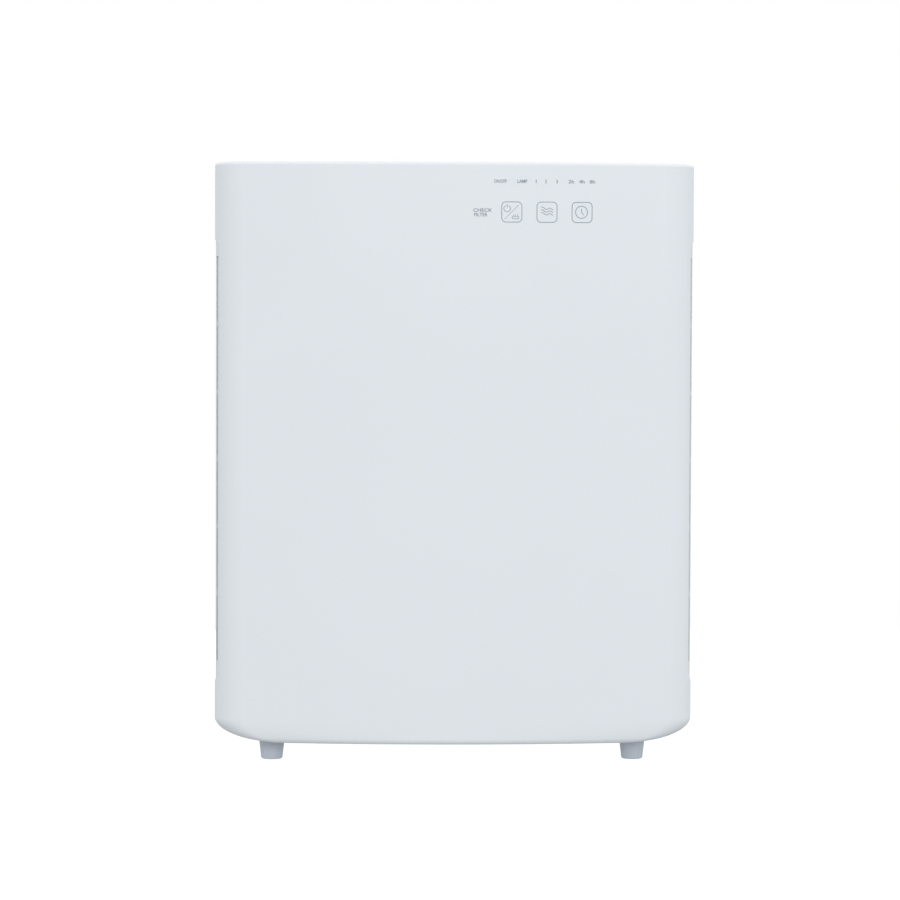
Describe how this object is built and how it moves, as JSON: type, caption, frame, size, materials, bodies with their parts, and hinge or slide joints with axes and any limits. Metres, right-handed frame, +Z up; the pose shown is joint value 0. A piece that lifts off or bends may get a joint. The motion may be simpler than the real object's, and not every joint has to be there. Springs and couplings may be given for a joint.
{
  "type": "air purifier",
  "caption": "Slim upright air purifier with a bowed pull-off front cover, side intakes, stacked filters, a centrifugal fan and a top outlet.",
  "frame": {"origin": "on the floor under the middle of the object, which stands on its feet", "axes": "+Z up, -Y out of the front cover, +X to the right seen from the front"},
  "size_m": [0.37, 0.178, 0.463],
  "materials": {
    "gloss_white_abs": "moulded ABS, polished",
    "satin_white_abs": "moulded ABS, fine satin",
    "grey_rubber": "moulded, matte",
    "steel": "zinc plated or drawn",
    "motor_steel": "drawn can",
    "brass": "turned",
    "dark_plastic": "moulded, matte",
    "grey_plastic": "moulded, matte",
    "filter_card": "folded card",
    "activated_carbon": "granules held in a paper honeycomb",
    "filter_paper": "folded filter paper",
    "catalyst_coating": "coated paper honeycomb",
    "tab_fabric": "woven tape",
    "lamp_glass": "clear",
    "circuit_board": "solder mask",
    "label_film": "printed film, blank",
    "cable_pvc": "flexible sheath"
  },
  "bodies": {
    "main_body": {"board_capacitor": "dark_plastic", "board_relay": "dark_plastic", "board_transformer": "dark_plastic", "control_board": "circuit_board", "control_tray": "satin_white_abs", "cover_socket_bottom_left": "grey_rubber", "cover_socket_bottom_right": "grey_rubber", "cover_socket_top_left": "grey_rubber", "cover_socket_top_right": "grey_rubber", "door_switch": "dark_plastic", "fan_scroll": "satin_white_abs", "foot_front_left": "grey_rubber", "foot_front_right": "grey_rubber", "foot_rear_left": "grey_rubber", "foot_rear_right": "grey_rubber", "handle_cup": "satin_white_abs", "indicator_light_guide": "lamp_glass", "inlet_ring": "satin_white_abs", "intake_grille_left": "satin_white_abs", "intake_grille_right": "satin_white_abs", "ioniser_module": "dark_plastic", "ioniser_needle": "steel", "main_board": "circuit_board", "mains_inlet": "dark_plastic", "middle_housing": "satin_white_abs", "motor_bearing_front": "brass", "motor_bearing_rear": "brass", "motor_body": "motor_steel", "motor_lead": "cable_pvc", "rating_label": "label_film", "rear_housing": "satin_white_abs", "rear_screw_1": "steel", "rear_screw_2": "steel", "rear_screw_3": "steel", "rear_screw_4": "steel", "rear_screw_5": "steel", "rear_screw_6": "steel", "top_grille": "satin_white_abs", "touch_spring_power": "steel", "touch_spring_speed": "steel", "touch_spring_timer": "steel", "uv_lamp_cap_left": "steel", "uv_lamp_cap_right": "steel", "uv_lamp_tube": "lamp_glass", "uv_socket_left": "dark_plastic", "uv_socket_right": "dark_plastic"},
    "cover": {"front_cover": "gloss_white_abs"},
    "prefilter": {"prefilter_frame": "grey_plastic", "prefilter_mesh": "dark_plastic"},
    "carbon_filter": {"carbon_frame": "filter_card", "carbon_honeycomb": "activated_carbon"},
    "hepa_filter": {"hepa_frame": "filter_card", "hepa_pleats": "filter_paper", "hepa_pull_tab": "tab_fabric"},
    "catalyst_filter": {"catalyst_frame": "filter_card", "catalyst_honeycomb": "catalyst_coating"},
    "fan_rotor": {"fan_wheel": "dark_plastic", "fan_nut": "brass", "motor_shaft": "steel"},
    "switch_button": {"switch_plunger": "grey_rubber"}
  },
  "joints": [
    {"name": "cover_slide", "type": "slide", "parent": "main_body", "child": "cover", "axis": [0, -1, 0], "range_m": [0, 0.4]},
    {"name": "prefilter_slide", "type": "slide", "parent": "main_body", "child": "prefilter", "axis": [0, -1, 0], "range_m": [0, 0.3]},
    {"name": "carbon_slide", "type": "slide", "parent": "main_body", "child": "carbon_filter", "axis": [0, -1, 0], "range_m": [0, 0.24]},
    {"name": "hepa_slide", "type": "slide", "parent": "main_body", "child": "hepa_filter", "axis": [0, -1, 0], "range_m": [0, 0.16]},
    {"name": "catalyst_slide", "type": "slide", "parent": "main_body", "child": "catalyst_filter", "axis": [0, -1, 0], "range_m": [0, 0.08]},
    {"name": "fan_spin", "type": "hinge", "parent": "main_body", "child": "fan_rotor", "pos_m": [0, 0.05, 0.215], "axis": [0, -1, 0], "continuous": true},
    {"name": "switch_press", "type": "slide", "parent": "main_body", "child": "switch_button", "axis": [0, 1, 0], "range_m": [0, 0.002], "stiffness_N_per_m": 150}
  ],
  "couplings": [
    {"joint": "prefilter_slide", "follows": "cover_slide", "ratio": 0.75},
    {"joint": "carbon_slide", "follows": "cover_slide", "ratio": 0.6},
    {"joint": "hepa_slide", "follows": "cover_slide", "ratio": 0.4},
    {"joint": "catalyst_slide", "follows": "cover_slide", "ratio": 0.2}
  ]
}
